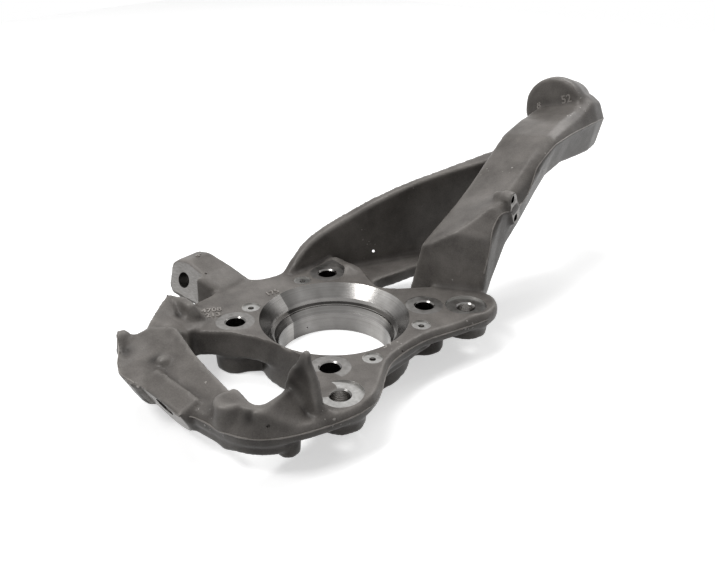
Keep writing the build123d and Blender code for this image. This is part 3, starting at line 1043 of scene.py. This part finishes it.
    def smooth(self, made: bpy.types.Object) -> None:
        """Round the skin's edges, fill its corners, and leave it as uneven as a sand mould does.

        Args:
            made: The skin.
        """
        bm = bmesh.new()
        bm.from_mesh(made.data)
        bmesh.ops.smooth_vert(bm, verts=bm.verts, factor=0.5, use_axis_x=True, use_axis_y=True,
                              use_axis_z=True)
        for vert, spot in zip(list(bm.verts), blurred(bm, self.soften, self.soften_steps)):
            vert.co = spot
        for spot, reach, height in self.swells:
            for vert, share in reached(bm, spot, reach):
                vert.co.z += height * MM * share
        bm.normal_update()
        for vert in bm.verts:
            slow = noise.noise(vert.co * (1 / (self.waver_size * MM)))
            vert.co += vert.normal * (self.proud + slow * self.waver) * MM
        bm.normal_update()
        self.stain(bm)
        self.raise_seams(bm)
        self.keep_inside(bm)
        bm.to_mesh(made.data)
        bm.free()

    def stain(self, bm: bmesh.types.BMesh) -> None:
        """Note where the skin is rubbed, from how far it stands out, and where painted shade darkens it, from
        how far it lies deep and at the listed spots.

        Args:
            bm: The skin.
        """
        worn = bm.verts.layers.float.new(WORN)
        hollow = bm.verts.layers.float.new(PAINTED_SHADE)
        for vert, spot in zip(list(bm.verts), blurred(bm, self.stain_rounds, (0.5,))):
            depth = (Vector(spot) - vert.co).dot(vert.normal) / MM
            # Painted shade: the deeper the skin lies, the darker.
            vert[hollow] = limited(depth, *self.shade_growth)
            vert[worn] = limited(-depth, *self.wear)
        # Painted shade at the listed spots, in corners and on faces turned from the light.
        for spot, reach in self.corners:
            for vert, share in reached(bm, spot, reach):
                vert[hollow] = max(vert[hollow], self.corner_shade * share)

    def raise_seams(self, bm: bmesh.types.BMesh) -> None:
        """Swell the skin along the parting line.

        Args:
            bm: The skin.
        """
        skin = BVHTree.FromBMesh(bm)
        for seam in self.seams:
            spots = np.array([tuple(v.co) for v in bm.verts])
            reach = away(spots, seam.path(skin)) / (seam.width * MM)
            for vert, far in zip(list(bm.verts), reach):
                if far < seam.faded:
                    vert.co += vert.normal * seam.height * MM * math.exp(-far * far)

    def keep_inside(self, bm: bmesh.types.BMesh) -> None:
        """Hold the skin inside the frame's box.

        Args:
            bm: The skin.
        """
        margin = 2e-5
        low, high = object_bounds()
        for vert in bm.verts:
            vert.co = [min(max(c, a + margin), b - margin) for c, a, b in zip(vert.co, low, high)]

    def hollow_tool(self, finishes: Finishes) -> bpy.types.Object:
        """Make the tool that cuts down the ball joint's boss and sinks the grooves of the ear, hook and rim.

        Args:
            finishes: The finishes to choose from.

        Returns:
            The tool.
        """
        bm = bmesh.new()
        along = Vector(self.boss_along).normalized()
        flush = framed(metres(self.boss_top), along, Vector(self.boss_up).normalized())
        above = Matrix.Translation(metres((0, 0, self.boss_cutter[2] / 2)))
        bmesh.ops.create_cube(bm, size=1.0, matrix=flush @ (above @ sized(*self.boss_cutter)))
        for spot, run, size in self.grooves:
            place = turned_to(spot, run) @ sized(*size)
            bmesh.ops.create_icosphere(bm, subdivisions=3, radius=1.0, matrix=place)
        return finish_object(bm, "hollow_tool", finishes.cast)

    def pit_tool(self, finishes: Finishes) -> bpy.types.Object:
        """Make the tool of the gas pits and of the vent hole through the limb's wall.

        Args:
            finishes: The finishes to choose from.

        Returns:
            The tool.
        """
        bm = bmesh.new()
        for spot, radius in self.pits:
            place = Matrix.Translation(metres(spot))
            bmesh.ops.create_icosphere(bm, subdivisions=2, radius=radius * MM, matrix=place)
        cone(bm, turned_to(*self.vent), *self.vent_ends, self.vent_radius, segments=16)
        return finish_object(bm, "pit_tool", finishes.cast)

    def add_relief(self, made: bpy.types.Object) -> None:
        """Raise the cast numbers and the beads of flash, in the second finish of the skin.

        Args:
            made: The machined casting.
        """
        bm = bmesh.new()
        bm.from_mesh(made.data)
        skin = BVHTree.FromBMesh(bm)
        for mark in self.marks:
            mark.build(bm, skin, 1)
        for seam in self.seams:
            seam.lay_bead(bm, skin, 1)
        self.keep_inside(bm)
        bm.to_mesh(made.data)
        bm.free()

    def build(self, finishes: Finishes) -> bpy.types.Object:
        """Build and dress the casting.

        Args:
            finishes: The finishes.

        Returns:
            The finished piece.
        """
        made = self.skin(finishes)
        LOG.info("skin remeshed: %d faces", len(made.data.polygons))
        carve(made, self.hollow_tool(finishes))
        self.remesh(made)
        self.smooth(made)
        LOG.info("skin softened: %d faces", len(made.data.polygons))
        carve(made, self.machining.sensor_pad(finishes), "UNION")
        carve(made, self.pit_tool(finishes))
        self.machining.cut(made, finishes)
        self.add_relief(made)
        made.name = made.data.name = "knuckle_skin"
        made.data.shade_smooth()
        made.data.set_sharp_from_angle(angle=math.radians(self.sharp))
        triangles = sum(len(p.vertices) - 2 for p in made.data.polygons)
        LOG.info("machined: %d triangles", triangles)
        return made


@dataclass(frozen=True)
class Lamp:
    """A soft rectangular studio lamp, with its place and size in metres and its power in watts."""

    name: str
    place: Point
    size: Spot
    power: float

    def build(self, aim: Vector) -> bpy.types.Object:
        """Build the lamp.

        Args:
            aim: The point it looks at, in metres.

        Returns:
            The lamp's object.
        """
        data = bpy.data.lights.new(self.name, "AREA")
        data.shape = "RECTANGLE"
        data.size, data.size_y = self.size
        data.energy = self.power
        made = bpy.data.objects.new(self.name, data)
        made.location = self.place
        made.rotation_euler = (aim - Vector(self.place)).to_track_quat("-Z", "Y").to_euler()
        bpy.context.scene.collection.objects.link(made)
        return made


def white_where_seen(tree: bpy.types.NodeTree, lit: Socket, white: Socket) -> Socket:
    """Mix two shaders so that the camera, gloss and glass see the white one.

    Args:
        tree: The node tree.
        lit: The shader that the other rays meet.
        white: The shader that is seen.

    Returns:
        The mixed shader.
    """
    ray = node(tree, "ShaderNodeLightPath").outputs
    either = maths(tree, "MAXIMUM", ray["Is Camera Ray"], ray["Is Glossy Ray"])
    seen = maths(tree, "MAXIMUM", either, ray["Is Transmission Ray"])
    return node(tree, "ShaderNodeMixShader", {"at": {0: seen, 1: lit, 2: white}}).outputs[0]


@dataclass
class Studio:
    """Pale floor, soft lamps, white surroundings and the camera."""

    floor_z: float = -33.0
    floor_reach: float = 1500.0
    floor_glow: float = 0.55      # light of its own, so that the lit floor comes out white
    surroundings: float = 0.18    # brightness that lights the knuckle
    lamps: tuple[Lamp, ...] = (
        Lamp("lamp_back", (0.1, 1.2, 1.1), (1.0, 0.5), 8.0),
        Lamp("lamp_front", (-0.4, -0.9, 1.4), (0.5, 0.5), 12.0),
        Lamp("lamp_top", (-0.4, 0.2, 1.6), (0.6, 0.6), 8.0),
    )
    lamp_aim: Point = (0, 60, 20)
    eye: Point = (310.605, -367.585, 266.232)
    eye_turn: Point = (63.3867, -0.1474, 38.4256)     # degrees round X, Y and Z, as the photograph was taken
    lens: float = 40.96
    sensor: float = 36.0

    def floor(self) -> bpy.types.Object:
        """Build the floor, which keeps the knuckle's shadow and is otherwise white.

        Returns:
            The floor.
        """
        bm = bmesh.new()
        bmesh.ops.create_grid(bm, x_segments=1, y_segments=1, size=self.floor_reach * MM,
                              matrix=Matrix.Translation((0, 0, self.floor_z * MM)))
        # White studio board. Scattered light meets a darker one, as if the board ended near the part.
        material, tree, matt = blank_material("pale_floor")
        matt.inputs["Base Color"].default_value = linear("#f2f2f2")
        matt.inputs["Roughness"].default_value = 0.9
        dull = node(tree, "ShaderNodeBsdfDiffuse", Color=linear("#444444"))
        glow = node(tree, "ShaderNodeEmission", Color=WHITE, Strength=self.floor_glow)
        both = node(tree, "ShaderNodeAddShader", {"at": {0: matt.outputs[0], 1: glow.outputs[0]}})
        mixed = white_where_seen(tree, dull.outputs[0], both.outputs[0])
        tree.links.new(mixed, tree.nodes["Material Output"].inputs["Surface"])
        made = finish_object(bm, "studio_floor", material)
        made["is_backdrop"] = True
        return made

    def world(self) -> None:
        """Build the white surroundings."""
        made = bpy.data.worlds.new("studio_world")
        bpy.context.scene.world = made
        made.use_nodes = True
        tree = made.node_tree
        dim = node(tree, "ShaderNodeBackground", Color=WHITE, Strength=self.surroundings)
        white = node(tree, "ShaderNodeBackground", Color=WHITE, Strength=1.0)
        mixed = white_where_seen(tree, dim.outputs[0], white.outputs[0])
        tree.links.new(mixed, tree.nodes["World Output"].inputs["Surface"])

    def camera(self) -> None:
        """Build the camera at the photograph's angle."""
        data = bpy.data.cameras.new("camera")
        data.lens = self.lens
        data.sensor_width = self.sensor
        made = bpy.data.objects.new("camera", data)
        made.location = metres(self.eye)
        made.rotation_euler = [math.radians(turn) for turn in self.eye_turn]
        bpy.context.scene.collection.objects.link(made)
        bpy.context.scene.camera = made

    def build(self) -> None:
        """Build the whole studio."""
        for lamp in self.lamps:
            lamp.build(metres(self.lamp_aim))
        self.floor()
        self.world()
        self.camera()
        bpy.context.scene.view_settings.view_transform = "Standard"


def main() -> None:
    """Build the knuckle in its studio."""
    logging.basicConfig(level=logging.INFO, format="%(message)s")
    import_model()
    finishes = Finishes()
    piece = Casting().build(finishes)
    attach(piece, "root")
    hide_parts(NODE)
    LOG.info("piece %s is dressed", piece.name)
    Studio().build()


if __name__ == "__main__":
    main()
